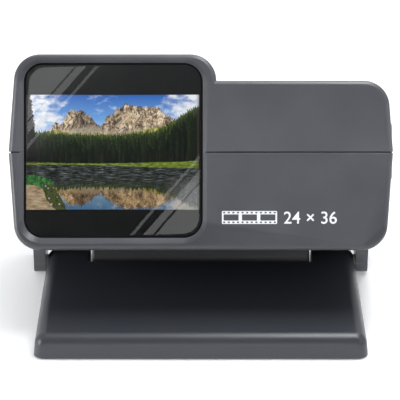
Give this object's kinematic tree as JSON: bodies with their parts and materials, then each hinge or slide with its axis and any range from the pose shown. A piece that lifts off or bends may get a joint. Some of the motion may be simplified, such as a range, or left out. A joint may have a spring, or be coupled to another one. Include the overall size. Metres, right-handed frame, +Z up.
{
  "type": "slide viewer",
  "caption": "Desk slide viewer with a large rounded window, a top-loading slide well, a push-pull changer and a backlight, leaning back on a low hinged stand.",
  "frame": {"origin": "middle of the overall footprint, on the surface that the feet stand on", "axes": "+Z up, the viewing window faces -Y, the slide changer's knob is at +X"},
  "size_m": [0.2064, 0.1684, 0.1441],
  "materials": {
    "housing_grey": "fine matt grain",
    "stand_grey": "fine matt grain",
    "black_plastic": "matt",
    "lens_acrylic": "clear polished",
    "mount_grey": "satin",
    "film": "glossy film",
    "white_plastic": "matt white",
    "opal": "opal",
    "board": "solder mask",
    "led": "phosphor",
    "cell_jacket": "satin wrap",
    "nickel": "bright",
    "steel": "zinc plated",
    "rubber": "matt",
    "washer_nylon": "satin nylon",
    "red_wire": "pvc",
    "black_wire": "pvc"
  },
  "bodies": {
    "stand": {"stand_shell": "stand_grey", "base_plate": "steel", "base_screws": "steel", "rubber_feet": "rubber", "friction_washers": "washer_nylon"},
    "viewer": {"upper_shell": "housing_grey", "lower_shell": "housing_grey", "rear_cover": "housing_grey", "cover_screws": "steel", "lens_frame": "black_plastic", "front_lens": "lens_acrylic", "lens_retainer": "black_plastic", "light_tunnel": "black_plastic", "gate_front_plate": "black_plastic", "gate_channel": "black_plastic", "pressure_springs": "steel", "slide_well": "black_plastic", "follower_rod": "steel", "changer_guide": "black_plastic", "lamp_box": "white_plastic", "diffuser": "opal", "led_board": "board", "leds": "led", "battery_box": "housing_grey", "battery_cells": "cell_jacket", "contact_plates": "nickel", "contact_springs": "nickel", "door_pin": "steel", "switch_body": "black_plastic", "dc_jack": "black_plastic", "jack_pin": "nickel", "red_wires": "red_wire", "black_wires": "black_wire", "hinge_screws": "steel"},
    "slide": {"slide_mount_front": "mount_grey", "slide_mount_rear": "mount_grey", "slide_film": "film"},
    "changer": {"changer_blade": "black_plastic", "changer_knob": "housing_grey"},
    "follower": {"follower": "black_plastic", "follower_spring": "steel", "spring_spindle": "steel"},
    "rocker": {"power_rocker": "black_plastic"},
    "door": {"battery_door": "housing_grey"}
  },
  "joints": [
    {"name": "head_tilt", "type": "hinge", "parent": "stand", "child": "viewer", "pos_m": [-0.0033, 0.01516, 0.0065], "axis": [1, 0, 0], "range_deg": [-5, 25]},
    {"name": "changer_pull", "type": "slide", "parent": "viewer", "child": "changer", "axis": [1, 0, 0], "range_m": [0, 0.0862]},
    {"name": "slide_exit", "type": "slide", "parent": "viewer", "child": "slide", "axis": [-1, 0, 0], "range_m": [0, 0.08]},
    {"name": "follower_load", "type": "slide", "parent": "viewer", "child": "follower", "axis": [0, -0.9041, 0.4274], "range_m": [0, 0.05], "stiffness_N_per_m": 15, "springref_m": -0.06},
    {"name": "rocker_press", "type": "hinge", "parent": "viewer", "child": "rocker", "pos_m": [0.0797, 0.06177, 0.05714], "axis": [1, 0, 0], "range_deg": [-20, 0]},
    {"name": "battery_door_open", "type": "hinge", "parent": "viewer", "child": "door", "pos_m": [-0.0033, 0.04728, 0.01875], "axis": [1, 0, 0], "range_deg": [0, 90]}
  ]
}
